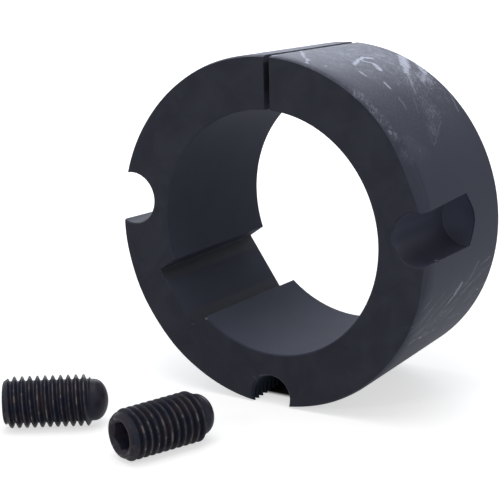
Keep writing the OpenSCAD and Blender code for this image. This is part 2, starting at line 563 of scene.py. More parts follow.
class IronWeave(Weave):
    """Weaves the bush's finish, from places in millimetres and degrees and shares of 0 to 1."""

    def __init__(self, owner: Material, look: PhosphatedIron) -> None:
        """Finds out where each point is and how far it belongs to each kind of surface.

        Args:
            owner: the material to fill.
            look: its colours, noises and marks.
        """
        super().__init__(owner)
        self.look = look
        self.spot = self.place()
        x, self.y, self.depth = self.split(self.spot)
        across = self.join(x, self.y, 0.0)
        self.radius = self.vector("LENGTH", across)
        # angle from the split, clockwise as seen on the large end
        angle = self.math("ARCTAN2", x, self.times(self.y, -1.0))
        self.clock = self.math("DEGREES", angle)
        self.flat = self.join(self.times(angle, TaperBush.unroll_r), self.depth, 0.0)
        facing = self.math("ABSOLUTE", self.vector("DOT_PRODUCT", self.normal(), tuple(TaperBush.axis())))
        self.facing = self.ramp(facing, 0.6, 0.9)
        key_floor = TaperBush.bore_r + TaperBush.key_depth
        self.bored = self.ramp(self.radius, key_floor + 0.6, key_floor + 0.2)
        right, left, lower = [self.vector("DISTANCE", across, middle) for middle in TaperBush.hole_middles()]
        wall = TaperBush.clamp_hole_r
        drilled = self.ramp(self.math("MINIMUM", right, left), wall + 0.25, wall + 0.1)
        # the threaded half hole, which is coloured darker
        wall = TaperBush.jack_hole_r + TaperBush.jack_thread_depth
        threaded_dark = self.ramp(lower, wall + 0.5, wall + 0.3)
        # the outside and its front rim, but not the half holes' walls
        below = self.minus(self.line(self.depth, -TaperBush.slope, TaperBush.large_r), self.radius)
        solid = self.minus(1.0, self.most(drilled, threaded_dark, self.facing))
        self.rim = self.times(self.ramp(below, 2.3, 2.0), solid, self.ramp(below, 0.01, 0.05))
        self.outside = self.most(self.ramp(below, 0.6, 0.3), self.rim)
        # the half holes end well before the small end, and so does their finish
        inner = self.times(self.ramp(self.depth, 0.1, 0.7), self.minus(1.0, self.outside))
        inner = self.times(inner, self.ramp(self.depth, 40.0, 38.0))
        self.drilled = self.times(drilled, inner)
        self.threaded_dark = self.times(threaded_dark, inner)
        self.grain = self.noise(self.spot, look.grain)
        self.ragged = self.minus(self.noise(self.spot, look.ragged), 0.5)

    def scuff_share(self) -> Socket:
        """Adds up the rub marks, which waver, have ragged borders and are patchy inside.

        Returns:
            How far the rubbed colour shows, 0 to 1.
        """
        total: Value = 0.0
        sway = self.vector("SUBTRACT", self.noise(self.flat, self.look.waver, "Color"), (0.5, 0.5, 0.5))
        flat = self.vector("ADD", self.flat, self.vector("SCALE", sway, scale=self.look.waver_reach))
        for mark in self.look.scuffs:
            start = TaperBush.unrolled(mark.clock_a, mark.depth_a)
            run = TaperBush.unrolled(mark.clock_b, mark.depth_b) - start
            from_a = self.vector("SUBTRACT", flat, tuple(start))
            along = self.vector("DOT_PRODUCT", from_a, tuple(run / run.length))
            along = self.math("MULTIPLY", along, 1 / run.length, clamp=True)
            gap = self.vector("DISTANCE", from_a, self.vector("SCALE", tuple(run), scale=along))
            half = mark.half_width
            gap = self.line(self.ragged, half * 2.0 + 0.35, gap)
            total = self.most(total, self.ramp(gap, half * 1.7 + 0.22, half * 0.6, 0.0, mark.strength))
        return self.times(total, self.ramp(self.noise(flat, self.look.patchy), 0.34, 0.48, 0.35, 1.0))

    def haze_and_sheen_share(self) -> Socket:
        """Adds up the soft patches of haze and painted sheen.

        Returns:
            How far the haze and painted sheen show, which may lie beyond 0 and 1.
        """
        total: Value = 0.0
        for patch in self.look.clouds:
            off = self.vector("SUBTRACT", self.flat, tuple(TaperBush.unrolled(patch.clock, patch.depth)))
            off = self.vector("MULTIPLY", off, (1 / patch.reach_along, 1 / patch.reach_deep, 0.0))
            share = self.ramp(self.vector("LENGTH", off), 1.0, 0.0, 0.0, patch.share)
            total = self.math("ADD", total, share)
        return total

    def nick_share(self) -> Socket:
        """Adds up the bright spots.

        Returns:
            How far bare metal shows, 0 to 1.
        """
        total: Value = 0.0
        for nick in self.look.nicks:
            middle = TaperBush.around(nick.clock, nick.radius, nick.depth)
            gap = self.line(self.ragged, nick.reach * 0.9, self.vector("DISTANCE", self.spot, middle))
            total = self.most(total, self.ramp(gap, nick.reach, nick.reach * 0.3, 0.0, nick.strength))
        return total

    def rubbed_and_sheen_share(self) -> Socket:
        """Adds up the outside's wear: haze, part handling and part painted sheen, specks, scratches, rub
        marks.

        Returns:
            How far the pale colour shows, as wear or painted sheen, 0 to 1.
        """
        smeared = self.noise(self.drawn(self.flat, -0.85, 0.35, 0.9), self.look.smear)
        speckle = self.noise(self.drawn(self.flat, -0.95, 0.8, 1.7), self.look.speckle)
        drift = self.noise(self.flat, self.look.drift)
        down = self.ramp(self.clock, 18.0, 34.0)
        mottle = self.times(
            self.ramp(smeared, 0.35, 0.65, 0.45, 1.5, Curve.STRAIGHT),
            self.ramp(drift, 0.38, 0.62, 0.55, 1.35, Curve.STRAIGHT),
            self.blend(down, 1.0, self.ramp(speckle, 0.42, 0.58, 0.4, 1.6, Curve.STRAIGHT)),
        )
        # haze from handling, mixed with painted sheen on the top of the outside
        haze_and_sheen = self.math("MULTIPLY", self.haze_and_sheen_share(), mottle, clamp=True)
        specks = self.times(self.ramp(speckle, 0.53, 0.64), down, self.ramp(haze_and_sheen, 0.02, 0.2, 0.0, 0.45))
        near_top = self.ramp(self.math("ABSOLUTE", self.clock), 66.0, 40.0, 0.0, 0.07)
        top_specks = self.times(self.ramp(speckle, 0.5, 0.62), near_top)
        # fine slanting scratches low on the right
        fine = self.noise(self.drawn(self.flat, -1.15, 0.07, 1.5), self.look.scratch)
        low_right = self.times(self.ramp(self.clock, 103.0, 110.0), self.ramp(self.clock, 127.0, 118.0))
        fine = self.times(self.ramp(fine, 0.55, 0.72, 0.0, 0.32), low_right)
        return self.times(self.most(haze_and_sheen, specks, top_specks, fine, self.scuff_share()), self.outside)

    def bare_and_highlight_share(self) -> Socket:
        """Adds up the coat worn thin along edges, a painted highlight ring at the drills' shoulders, and
        bare nicks.

        Returns:
            How far bare metal or the painted highlight shows, 0 to 1.
        """
        edge = self.ramp(self.edge_share(self.look.edge_reach), 0.05, 0.35)
        edge = self.times(edge, self.ramp(self.noise(self.spot, self.look.edge_wear), 0.4, 0.7, 0.02, 0.2))
        # painted highlight: a paler ring along the plain holes' shoulders
        off = self.math("ABSOLUTE", self.minus(self.depth, TaperBush.clamp_hole_depth))
        shoulder = self.times(self.ramp(off, 0.3, 0.05, 0.0, 0.1), self.drilled)
        return self.most(edge, shoulder, self.nick_share())

    def coated(self) -> Socket:
        """Colours the coat: cloudy, a little different on each kind of surface, with painted shade and a
        painted highlight in the half holes.

        Returns:
            The colour before wear.
        """
        look, shoulder = self.look, TaperBush.clamp_hole_depth
        blotch = self.times(self.noise(self.spot, look.blotch), 0.7)
        tone = self.math("ADD", self.times(self.grain, 0.3), blotch)
        colour = self.mix(self.ramp(tone, 0.32, 0.68), look.coat, look.coat_light)
        # painted shade darkens the lower side of the plain half holes
        low_shade = self.ramp(self.minus(self.y, TaperBush.hole_middles()[0][1]), 1.5, 7.0, 0.0, 0.6)
        # painted highlight: the drill point past the shoulder is paler
        point = self.ramp(self.depth, shoulder, shoulder + 0.4, 0.0, 0.3)
        for share, layer in (
            (self.times(self.outside, 0.75), look.turned),
            (self.times(self.rim, 0.4), look.dressed),
            (self.times(self.bored, self.ramp(self.facing, 0.9, 0.1, 0.0, 0.6)), look.bored),
            (self.times(self.drilled, 0.9), look.drilled),
            (self.times(self.drilled, low_shade), look.painted_hole_shade),
            (self.times(self.drilled, point), look.drill_point_highlight),
            (self.threaded_dark, look.threaded_dark),
        ):
            colour = self.mix(share, colour, layer)
        return colour

    def relief(self) -> Socket:
        """Adds the tool marks: fine turned rings on the outside and the bore, finer arcs on the faces.

        Returns:
            The normal, with the edges softened.
        """
        rings = self.math("SINE", self.times(self.depth, math.tau / self.look.ring_pitch))
        arcs = self.math("SINE", self.times(self.radius, math.tau / self.look.arc_pitch))
        tool = self.times(self.blend(self.facing, rings, arcs), self.look.tool_height)
        height = self.math("ADD", tool, self.times(self.grain, self.look.grain_height))
        return self.bump(height, 0.5, self.bevel(self.look.edge_round))

    def dressed(self) -> Material:
        """Puts the coat, the wear, the painted sheen, shade and highlights, and the relief together.

        Returns:
            The material.
        """
        worn_and_sheen = self.rubbed_and_sheen_share()
        colour = self.mix(worn_and_sheen, self.coated(), self.look.rubbed_and_sheen)
        colour = self.mix(self.bare_and_highlight_share(), colour, self.look.bare_and_highlight)
        rough = self.blend(self.bored, self.look.roughness, self.look.bored_roughness)
        rough = self.blend(self.facing, rough, self.look.roughness)
        rough = self.line(self.minus(self.grain, 0.5), 0.16, rough)
        rough = self.line(worn_and_sheen, 0.08, rough)
        return self.principled(Base_Color=colour, Roughness=rough, Normal=self.relief(), IOR=self.look.ior)


@dataclass(frozen=True)
class OiledBlackSteel:
    """Steel with a black oxide coat and a film of oil, brown where handling has rubbed the crests."""

    coat: Colour = srgb(33, 36, 50)
    coat_light: Colour = srgb(46, 49, 65)
    crest: Colour = srgb(106, 99, 99)
    handled: Colour = srgb(66, 57, 59)
    roughness: float = 0.4
    rubbed_roughness: float = 0.2
    ior: float = 1.24
    grain: Grain = Grain(4.0, 3.0, 0.6)
    film: Grain = Grain(0.5, 3.0, 0.6, 0.4)
    glint: Grain = Grain(0.32)
    rim_wear: Grain = Grain(0.5)
    touch: Grain = Grain(0.16)
    edge_reach: float = 0.25
    grain_height: float = 0.012

    def material(self, name: str) -> Material:
        """Builds the finish.

        Args:
            name: name of the material.

        Returns:
            The material.
        """
        weave = Weave(bpy.data.materials.new(name))
        place = weave.place()
        x, y, depth = weave.split(place)
        below = weave.minus(ClampingScrew.crest_r, weave.vector("LENGTH", weave.join(x, y, 0.0)))
        grain, film = weave.noise(place, self.grain), weave.noise(place, self.film)
        # metal rubbed bright: crests where the film is thin, edges, glints, and the rim of the socket end
        crest = weave.times(weave.ramp(below, 0.3, 0.03), weave.ramp(film, 0.4, 0.62, 0.02, 0.36))
        edge = weave.ramp(weave.edge_share(self.edge_reach), 0.05, 0.35, 0.0, 0.2)
        glint = weave.ramp(weave.noise(place, self.glint), 0.56, 0.66, 0.0, 0.8)
        glint = weave.times(glint, weave.ramp(below, 0.4, 0.1))
        rim = weave.ramp(weave.noise(place, self.rim_wear), 0.56, 0.68, 0.0, 0.5)
        rim = weave.times(rim, weave.ramp(depth, 1.4, 0.5))
        shown = weave.most(crest, edge, glint, rim)
        handled = weave.ramp(weave.noise(place, self.touch), 0.42, 0.66, 0.0, 0.5)
        handled = weave.most(handled, weave.ramp(depth, 1.6, 0.3, 0.0, 0.45))
        colour = weave.mix(weave.ramp(grain, 0.3, 0.75), self.coat, self.coat_light)
        colour = weave.mix(handled, colour, self.handled)
        colour = weave.mix(shown, colour, self.crest)
        rough = weave.line(weave.minus(film, 0.5), 0.25, self.roughness)
        rough = weave.blend(weave.ramp(shown, 0.0, 0.2), rough, self.rubbed_roughness)
        bump = weave.bump(weave.times(grain, self.grain_height), 0.4)
        return weave.principled(
            Base_Color=colour, Metallic=weave.times(shown, 0.9), Roughness=rough, Normal=bump, IOR=self.ior
        )


# Pieces


@dataclass(frozen=True)
class Thread:
    """A right-hand thread along +Z: rounded crests and roots at one pitch. Lengths are in millimetres."""

    pitch: float = 25.4 / 11
    crest_r: float = 7.8
    depth: float = 1.45
    root_share: float = 0.2
    flank_share: float = 0.68
    roundness: float = 0.55
    rows_in_turn: int = 14

    def radius(self, depth: float, angle: float, first_crest: float) -> float:
        """Finds the thread's radius at a place.

        Args:
            depth: place along the axis.
            angle: angle round the axis, in radians.
            first_crest: depth of the crest at angle 0.

        Returns:
            The radius in millimetres.
        """
        phase = ((depth - first_crest) / self.pitch - angle / math.tau) % 1.0
        rise = abs(phase - 0.5) * 2
        share = min(1.0, max(0.0, (rise - self.root_share) / self.flank_share))
        share = (1 - self.roundness) * share + self.roundness * (3 * share**2 - 2 * share**3)
        return self.crest_r - self.depth * (1 - share)

    def rows(
        self, ends: tuple[float, float], first_crest: float, limit: Reach, count: int, tool: bool = False
    ) -> list[Ring]:
        """Makes rows that follow the helix between two depths.

        Args:
            ends: depths of the first and the last plain circle.
            first_crest: depth of the crest at angle 0.
            limit: radius that the thread isn't above, or for a tool isn't below, at a depth.
            count: steps round the axis.
            tool: whether limit is a lower one.

        Returns:
            Closed rows in millimetres. Parts of rows beyond an end lie on it.
        """
        start, end = ends
        step = self.pitch / self.rows_in_turn
        first = start - self.pitch
        bound = max if tool else min
        made = []
        for k in range(math.ceil((end - first) / step) + 1):
            row = []
            for j in range(count + 1):
                angle = math.tau * j / count
                w = first_crest + (round((first - first_crest) / step) + k) * step + self.pitch * j / count
                w = min(max(w, start), end)
                r = bound(self.radius(w, angle, first_crest), limit(w))
                row.append(Vector((r * math.cos(angle), r * math.sin(angle), w)))
            made.append(row)
        return made


class Side(Enum):
    """The side of the split that a plain half hole is on, as seen on the large end."""

    RIGHT = 1
    LEFT = -1


@dataclass(frozen=True)
class Chip:
    """A small chip out of an edge: clock angle in degrees, radius, depth and rough size."""

    clock: float
    radius: float
    depth: float
    size: float


@dataclass
class TaperBush:
    """The split, tapered bush with its bore, keyway and half holes. Lengths are in millimetres."""

    length: float = 50.8
    rim_bevel: float = 0.5
    rim_drop: float = 2.8
    rim_curve: float = 1.1
    rim_rows: int = 5
    cone_start: float = 6.5
    rim_waves: float = 4.0
    rim_wander: float = 0.12
    # clock angle and reach in degrees and extra width of each hand-dressed place
    rim_dressing: tuple[Triple, ...] = ((66.0, 14.0, 1.15), (98.0, 6.0, 0.55))
    bore_r: float = 37.5
    bore_bevel: float = 0.4
    edge_round: float = 0.12
    split_w: float = 2.0
    key_w: float = 20.0
    key_depth: float = 4.9
    key_clock: float = 235.2
    key_round: float = 0.35
    clamp_circle_r: float = 50.6
    clamp_hole_r: float = 8.0
    clamp_hole_depth: float = 29.8
    clamp_hole_spread: float = 84.6
    clamp_mouth_bevel: float = 0.35
    clamp_tip_round: float = 7.0
    jack_circle_r: float = 51.2
    jack_hole_r: float = 6.6
    jack_hole_depth: float = 30.0
    jack_mouth_bevel: float = 0.7
    jack_thread_depth: float = 1.3
    facets: int = 360
    hole_facets: int = 128
    thread_facets: int = 96
    sharp_angle: float = 28.0
    # the extra rows this far from each bevel keep the shading of the long surfaces true
    support: float = 0.5
    chips: tuple[Chip, ...] = (
        Chip(93.9, 53.5, 7.4, 0.5),
        Chip(94.0, 51.9, 26.0, 0.4),
        Chip(50.0, 53.9, 0.1, 0.45),
        Chip(219.0, 37.7, 0.1, 0.45),
    )

    large_r: ClassVar[float] = 53.975
    slope: ClassVar[float] = math.tan(math.radians(4.0))
    unroll_r: ClassVar[float] = 52.2
    tilt: ClassVar[float] = math.radians(3.3852371)
    jack_hole_clock: ClassVar[float] = 181.0
    drill_half_angle: ClassVar[float] = math.radians(59.0)

    @classmethod
    def laid(cls) -> Matrix:
        """Returns the turn to the row frame. Before it the large face is at Z = 0 and the split on -Y."""
        roll = Matrix.Rotation(math.radians(180 - cls.jack_hole_clock), 4, "Z")
        return Matrix.Rotation(-math.pi / 2 - cls.tilt, 4, "X") @ roll

    @classmethod
    def axis(cls) -> Vector:
        """Returns the bush's axis in the row frame, from the large end to the small end."""
        return cls.laid().to_3x3() @ Vector((0, 0, 1))

    @classmethod
    def unrolled(cls, clock: float, depth: float) -> Vector:
        """Returns the place of a clock angle and depth on the unrolled outside."""
        return Vector((math.radians(clock) * cls.unroll_r, depth, 0.0))

    @classmethod
    def around(cls, clock: float, radius: float, depth: float = 0.0) -> Triple:
        """Returns the place of a clock angle, radius and depth about the bush's own axis."""
        a = math.radians(clock)
        return (radius * math.sin(a), -radius * math.cos(a), depth)

    @classmethod
    def clamp_clock(cls, side: Side) -> float:
        """Returns the clock angle of a plain half hole."""
        return cls.jack_hole_clock - 180 + side.value * cls.clamp_hole_spread

    @classmethod
    def hole_middles(cls) -> list[Triple]:
        """Returns the places of the three half holes' axes: right, left and threaded."""
        plain = [cls.around(cls.clamp_clock(side), cls.clamp_circle_r) for side in (Side.RIGHT, Side.LEFT)]
        return [*plain, cls.around(cls.jack_hole_clock, cls.jack_circle_r)]

    def cone_r(self, depth: float) -> float:
        """Gives the radius of the outside at a depth."""
        return self.large_r - depth * self.slope

    def drill_drop(self, radius: float) -> float:
        """Gives the length of a sharp drill point of this radius."""
        return radius / math.tan(self.drill_half_angle)

    def at_clock(self, mesh: Mesh, clock: float, out: float = 0.0) -> Mesh:
        """Moves a tool mesh that is drawn on +X to its place round the bush.

        Args:
            mesh: tool mesh, changed in place.
            clock: angle from the split in degrees, clockwise as seen on the large end.
            out: distance from the axis that is added first.

        Returns:
            The same mesh.
        """
        mesh.transform(Matrix.Rotation(math.radians(clock - 90), 4, "Z") @ Matrix.Translation((out, 0, 0)))
        return mesh

    def rim_width(self, angle: float) -> float:
        """Works out the width of the front bevel, which is hand-dressed wider at two places.

        Args:
            angle: angle round the bush's axis, in radians.

        Returns:
            The width in millimetres.
        """
        clock = (math.degrees(angle) + 270) % 360 - 180
        wide = 0.0
        for at, reach, extra in self.rim_dressing:
            wide += extra * math.exp(-(((clock - at) / reach) ** 2))
        wander = noise.noise(Vector((math.cos(angle), math.sin(angle), 0)) * self.rim_waves)
        return self.rim_bevel + wide + self.rim_wander * wander

    def rim_row(self, t: float) -> Ring:
        """Makes one row of the front bevel, steep at the face and rounded into the cone.

        Args:
            t: how far the row is from the face to the cone, 0 to 1.

        Returns:
            The row.
        """

        def drop(angle: float) -> float:
            """Gives the depth of this row."""
            return self.rim_width(angle) * self.rim_drop * t**self.rim_curve

        def reach(angle: float) -> float:
            """Gives the radius of this row."""
            return self.cone_r(drop(angle)) - self.rim_width(angle) * (1 - t) ** self.rim_curve

        return loop_of(reach, drop, self.facets)

    def ring(self) -> Mesh:
        """Makes the tapered ring with its bevelled edges.

        Returns:
            The closed mesh.
        """
        b, c, end, near = self.rim_bevel, self.bore_bevel, self.length, self.support
        cone, bore = self.cone_r, self.bore_r
        rows = [self.rim_row(k / (self.rim_rows - 1)) for k in range(self.rim_rows)]
        corners = [
            (cone(self.cone_start), self.cone_start, False),
            (cone(end - b - near), end - b - near, False),
            (cone(end - b), end - b, True),
            (cone(end - b) - b, end, True),
            (cone(end - b) - b - near, end, False),
            (bore + c + near, end, False),
            (bore + c, end, True),
            (bore, end - c, True),
            (bore, end - c - near, False),
            (bore, c + near, False),
            (bore, c, True),
            (bore + c, 0.0, True),
            (bore + c + near, 0.0, False),
        ]
        radii = [self.edge_round * is_edge for _, _, is_edge in corners]
        profile = rounded([(r, w) for r, w, _ in corners], radii, 2)
        rows += [circle(r, w, self.facets) for r, w in profile]
        rows.append(loop_of(lambda a: cone(0.0) - self.rim_width(a) - near, lambda _: 0.0, self.facets))
        return mesh_of_rows("bush_ring", [*rows, rows[0]])

    def split(self) -> Mesh:
        """Makes the tool for the split."""
        inner, outer, half = self.bore_r - 5, 60, self.split_w / 2
        outline = [(inner, -half), (outer, -half), (outer, half), (inner, half)]
        return self.at_clock(prism("split_tool", outline, -1, self.length + 1), 0)

    def keyway(self) -> Mesh:
        """Makes the tool for the keyway, with the small roundings that the cutter leaves in its corners.

        Returns:
            The tool mesh in its place.
        """
        floor, half, near = self.bore_r + self.key_depth, self.key_w / 2, 0.8
        corners = [(30, -half), (floor - near, -half), (floor, -half), (floor, near - half)]
        radii = [0, 0, self.key_round, 0]
        outline = rounded([*corners, *[(x, -y) for x, y in reversed(corners)]], [*radii, *reversed(radii)])
        return self.at_clock(prism("keyway_tool", outline, -1, self.length + 1), self.key_clock)

    def clamp_hole(self, side: Side) -> Mesh:
        """Makes the tool for a plain half hole with a rounded drill point.

        Args:
            side: the side that the hole is on.

        Returns:
            The tool mesh in its place.
        """
        r, depth, b = self.clamp_hole_r, self.clamp_hole_depth, self.clamp_mouth_bevel
        half, tip, arc_steps, soft = self.drill_half_angle, self.clamp_tip_round, 10, 0.12
        profile = [(0.0, -1.0), (r + b + 1.0, -1.0), (r + b, 0.0), (r + 0.1, b - 0.1), (r, b + 0.1)]
        profile += [(r, b + 0.6), (r, depth - 0.6), (r, depth - soft)]
        profile.append((r - soft, depth + self.drill_drop(soft)))
        centre = depth + self.drill_drop(r) - tip / math.sin(half)
        for k in range(arc_steps + 1):
            a = half + (math.pi / 2 - half) * k / arc_steps
            profile.append((tip * math.cos(a), centre + tip * math.sin(a)))
        tool = lathe("hole_tool", profile, self.hole_facets)
        return self.at_clock(tool, self.clamp_clock(side), self.clamp_circle_r)

    def jack_hole(self) -> Mesh:
        """Makes the tool for the threaded half hole opposite the split, its thread a true helix.

        Returns:
            The tool mesh in its place.
        """
        r, depth, b = self.jack_hole_r, self.jack_hole_depth, self.jack_mouth_bevel
        count = self.thread_facets
        thread = Thread(crest_r=r + self.jack_thread_depth, depth=self.jack_thread_depth, rows_in_turn=12)
        first_crest, fade_in, fade_out = 1.8, b + 0.5, depth - 3.0
        in_length, out_length = 1.0, 1.5

        def wall(w: float) -> float:
            """Gives the mouth's bevel and the plain wall that the thread is never inside."""
            return max(r, r + b - w)

        rows = [circle(0.0, -1.0, count), circle(r + b + 1.0, -1.0, count), circle(r + b, 0.0, count)]
        for row in thread.rows((0.0, fade_out), first_crest, wall, count, tool=True):
            for point in row:
                reach = math.hypot(point.x, point.y)
                starting = max(0.0, (point.z - fade_in) / in_length)
                ending = max(0.0, (fade_out - point.z) / out_length)
                kept = (wall(point.z) + (reach - wall(point.z)) * min(1.0, starting, ending)) / reach
                point.x *= kept
                point.y *= kept
            rows.append(row)
        tip = depth + self.drill_drop(r)
        rows += [circle(r, fade_out + 0.1, count), circle(r, depth, count), circle(0.0, tip, count)]
        return self.at_clock(mesh_of_rows("jack_tool", rows), self.jack_hole_clock, self.jack_circle_r)

    def chip(self, spot: Chip, seed: int) -> Mesh:
        """Makes a rough lump that takes a small chip out of an edge.

        Args:
            spot: the chip's place and size.
            seed: number that sets its shape.

        Returns:
            The tool mesh.
        """
        bm = bmesh.new()
        bmesh.ops.create_icosphere(bm, subdivisions=2, radius=spot.size)
        for vert in bm.verts:
            vert.co *= 1 + 0.35 * noise.noise(vert.co * 2.5 / spot.size + Vector((seed * 7.3, 0, 0)))
        mesh = mesh_from(bm, "chip_tool")
        mesh.transform(Matrix.Translation((0, 0, spot.depth)))
        return self.at_clock(mesh, spot.clock, spot.radius)

    def build(self, finish: Material) -> bpy.types.Object:
        """Builds, lays down and dresses the bush.

        Args:
            finish: the bush's material.

        Returns:
            The piece that stands for the bush.
        """
        holes = [self.clamp_hole(Side.RIGHT), self.clamp_hole(Side.LEFT), self.jack_hole()]
        chips = [self.chip(spot, seed) for seed, spot in enumerate(self.chips)]
        tools = [self.split(), self.keyway(), *holes, *chips]
        mesh = cut(self.ring(), tools)
        soften(mesh, self.sharp_angle)
        piece = piece_of("taper_bush_dressed", mesh, self.laid(), finish)
        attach(piece, "root")
        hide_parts("taper_bush")
        return piece


@dataclass
class ClampingScrew:
    """A headless screw with a hex socket, a thread and a dome. Lengths are in millimetres."""

    name: str
    node: str
    x: float
    y: float
    turn: float
    roll: float = 12.0
    first_crest: float = 2.45
    length: float = 31.4
    bevel: float = 2.3
    neck: float = 1.4
    dome: float = 4.2
    socket_af: float = 7.94
    socket_depth: float = 8.0
    socket_bevel: float = 0.8
    relief: float = 0.1
    steps: int = 96
    dome_rows: int = 12
    sharp_angle: float = 32.0

    crest_r: ClassVar[float] = 7.8
    floor_z: ClassVar[float] = -53.518193
    drill_half_angle: ClassVar[float] = math.radians(59.0)

    def profile_limit(self, w: float) -> float:
        """Bounds the thread by the bevel at the socket end and the run-out at the neck.

        Args:
            w: depth from the socket end.

        Returns:
            The radius that the thread isn't above.
        """
        low = self.crest_r - Thread.depth - self.relief
        at_start = low + (Thread.depth + self.relief) * w / self.bevel
        run_out = self.length - self.dome - self.neck - 0.4
        at_end = self.crest_r - (w - run_out) * 1.5
        return max(low, min(self.crest_r, at_start, at_end))

    def hex_r(self, angle: float) -> float:
        """Gives the distance from the axis to the socket's wall at an angle."""
        sixth = math.pi / 3
        return self.socket_af / 2 / math.cos((angle % sixth) - sixth / 2)

    def socket_rows(self) -> list[Ring]:
        """Makes the rows of the socket, from its drilled bottom out to its bevelled mouth.

        Returns:
            Closed rows in millimetres about the screw's axis.
        """
        n, flat, bottom, fall = self.steps, self.socket_af / 2, self.socket_depth, 0.8
        mouth = flat / math.cos(math.pi / 6) + self.socket_bevel
        return [
            circle(0.0, bottom + flat / math.tan(self.drill_half_angle), n),
            circle(flat * 0.94, bottom, n),
            loop_of(self.hex_r, lambda _: bottom, n),
            loop_of(self.hex_r, lambda a: (mouth - self.hex_r(a)) * fall + 0.12, n),
            loop_of(lambda a: self.hex_r(a) + 0.1, lambda a: (mouth - self.hex_r(a) - 0.1) * fall, n),
            circle(mouth, 0.06, n),
            circle(mouth + 0.12, 0.0, n),
        ]

    def rows(self) -> list[Ring]:
        """Makes the rows of the whole screw, from the bottom of the socket to the tip of the dome.

        Returns:
            Closed rows in millimetres about the screw's axis.
        """
        n = self.steps
        root = self.crest_r - Thread.depth
        low = root - self.relief
        dome_start = self.length - self.dome
        thread_end = dome_start - self.neck + 0.6
        rows = [*self.socket_rows(), circle(root - 0.55, 0.0, n), circle(root - 0.25, 0.1, n)]
        thread = Thread(crest_r=self.crest_r)
        rows += thread.rows((0.25, thread_end), self.first_crest, self.profile_limit, n)
        rows.append(circle(low, thread_end + 0.3, n))
        for k in range(self.dome_rows + 1):
            a = math.pi / 2 * k / self.dome_rows
            rows.append(circle(low * math.cos(a), dome_start + self.dome * math.sin(a), n))
        return rows

    def laid(self) -> Matrix:
        """Returns the turn and move from the screw's own axis to the row frame."""
        place = Matrix.Translation((self.x, self.y, self.floor_z + self.crest_r))
        turn = Matrix.Rotation(math.radians(self.turn), 4, "Z")
        down = Matrix.Rotation(math.pi / 2, 4, "Y")
        return place @ turn @ down @ Matrix.Rotation(math.radians(self.roll), 4, "Z")

    def build(self, finish: Material) -> bpy.types.Object:
        """Builds, lays down and dresses the screw.

        Args:
            finish: the screw's material.

        Returns:
            The piece that stands for the screw.
        """
        mesh = mesh_of_rows(self.name, self.rows())
        soften(mesh, self.sharp_angle)
        piece = piece_of(self.name, mesh, self.laid(), finish)
        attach(piece, "root")
        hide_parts(self.node)
        return piece


# Studio


@dataclass(frozen=True)
class SoftBox:
    """A square soft lamp: where it hangs, where it points, its side and its power, in metres and watts."""

    name: str
    place: Triple
    aim: Triple
    side: float
    power: float
    colour: Triple = (1.0, 1.0, 1.0)


